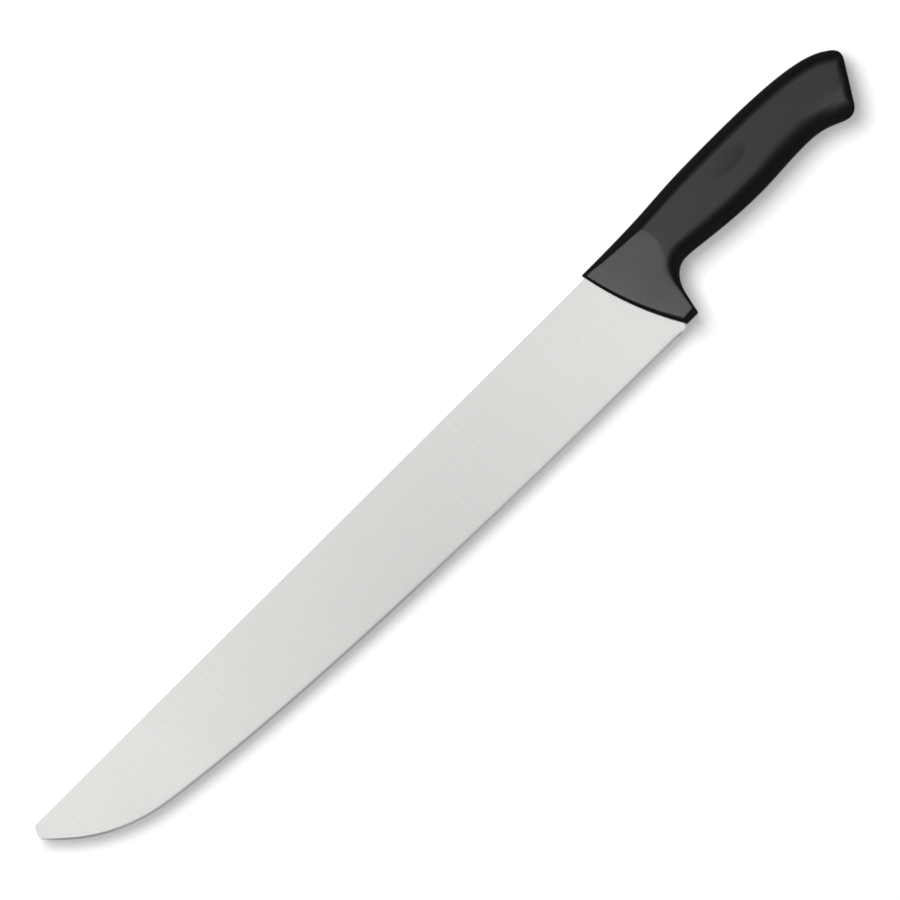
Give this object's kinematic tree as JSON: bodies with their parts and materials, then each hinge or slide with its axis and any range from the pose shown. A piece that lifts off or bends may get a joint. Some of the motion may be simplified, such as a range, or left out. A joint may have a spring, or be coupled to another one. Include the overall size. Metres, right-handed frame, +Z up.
{
  "type": "butcher knife",
  "caption": "Long butcher knife: broad flat-ground steel blade with a straight spine and blunt upswept tip, black moulded handle with finger guard and hooked pommel.",
  "frame": {"origin": "middle of the underside of the knife's box, with the knife lying on its side", "axes": "+X from the tip towards the butt, +Y from the cutting edge towards the spine, +Z up through the thickness"},
  "size_m": [0.49, 0.0512, 0.02],
  "materials": {
    "blade_steel": "fine satin, flat ground from spine to edge",
    "handle_plastic": "black, finely moulded matt"
  },
  "bodies": {
    "root": {"blade": "blade_steel", "handle": "handle_plastic"}
  },
  "joints": []
}
